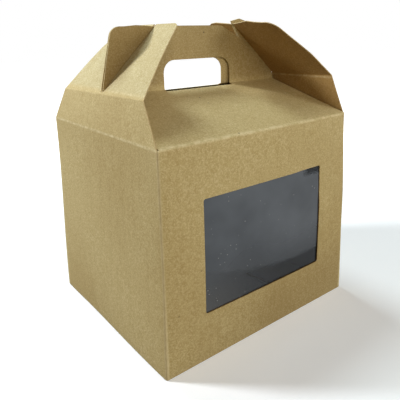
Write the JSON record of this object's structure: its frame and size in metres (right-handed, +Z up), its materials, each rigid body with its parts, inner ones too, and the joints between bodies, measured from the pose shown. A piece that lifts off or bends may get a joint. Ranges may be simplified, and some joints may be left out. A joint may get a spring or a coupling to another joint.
{
  "type": "gable lunch box",
  "caption": "Small kraft card carry box with a window, a sloping roof, a carry handle with a hand hole, and a lock flap on each side.",
  "frame": {"origin": "middle of the underside, at the height of the surface that the box stands on", "axes": "+X along the window wall to its right end as seen from in front, +Y from the window wall to the back, +Z up"},
  "size_m": [0.12, 0.106, 0.152],
  "materials": {
    "kraft_card": "uncoated brown kraft card, matt, with a fine fibre grain",
    "clear_film": "thin clear film, glossy, dark where the inside of the box shows"
  },
  "bodies": {
    "box": {"carton": "kraft_card", "window_film": "clear_film"},
    "left_flap": {"left_lock_flap": "kraft_card"},
    "right_flap": {"right_lock_flap": "kraft_card"}
  },
  "joints": [
    {"name": "left_flap_fold", "type": "hinge", "parent": "box", "child": "left_flap", "pos_m": [-0.06, 0, 0.103], "axis": [0, -1, 0], "range_deg": [0, 115]},
    {"name": "right_flap_fold", "type": "hinge", "parent": "box", "child": "right_flap", "pos_m": [0.06, 0, 0.103], "axis": [0, 1, 0], "range_deg": [0, 115]}
  ]
}
